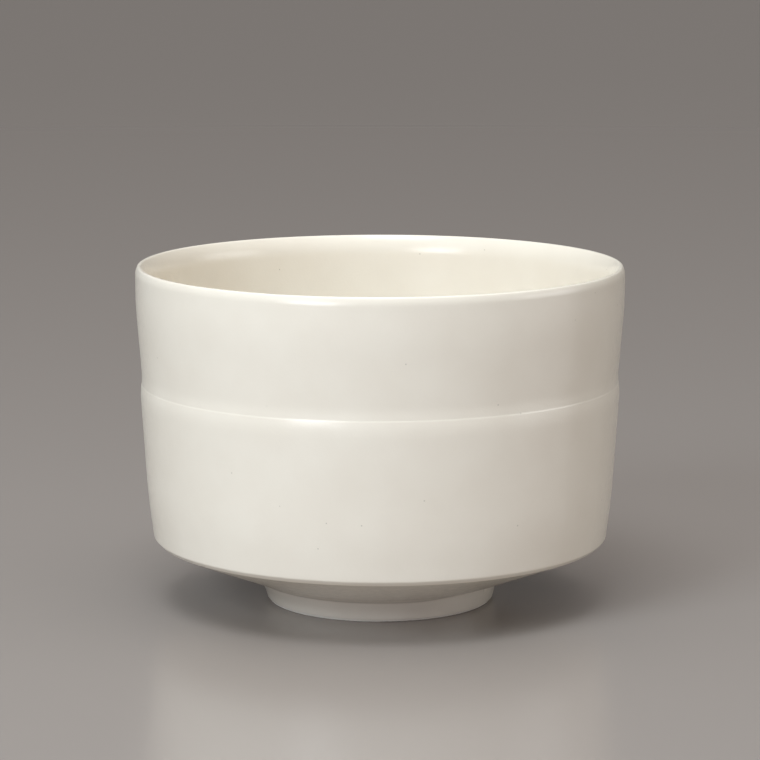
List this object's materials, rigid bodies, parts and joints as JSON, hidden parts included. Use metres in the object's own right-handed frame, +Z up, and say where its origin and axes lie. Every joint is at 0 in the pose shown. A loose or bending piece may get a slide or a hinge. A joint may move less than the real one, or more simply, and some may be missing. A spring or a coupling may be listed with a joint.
{
  "type": "matcha bowl",
  "caption": "Upright half-cylinder tea bowl with a fine ledge round its wall, a low ring foot and a satin ivory glaze that leaves the foot's rim bare.",
  "frame": {"origin": "centre of the foot ring's resting face, on the bowl's axis", "axes": "+Z up along the bowl's axis, from the foot to the mouth; +Y is away from the viewer of the front, +X to the viewer's right"},
  "size_m": [0.12, 0.12, 0.0836],
  "materials": {
    "bare_clay": "matte",
    "satin_glaze": "satin"
  },
  "bodies": {
    "root": {"clay_body": "bare_clay", "foot_ring": "bare_clay", "outer_glaze": "satin_glaze", "inner_glaze": "satin_glaze", "foot_well_glaze": "satin_glaze"}
  },
  "joints": []
}
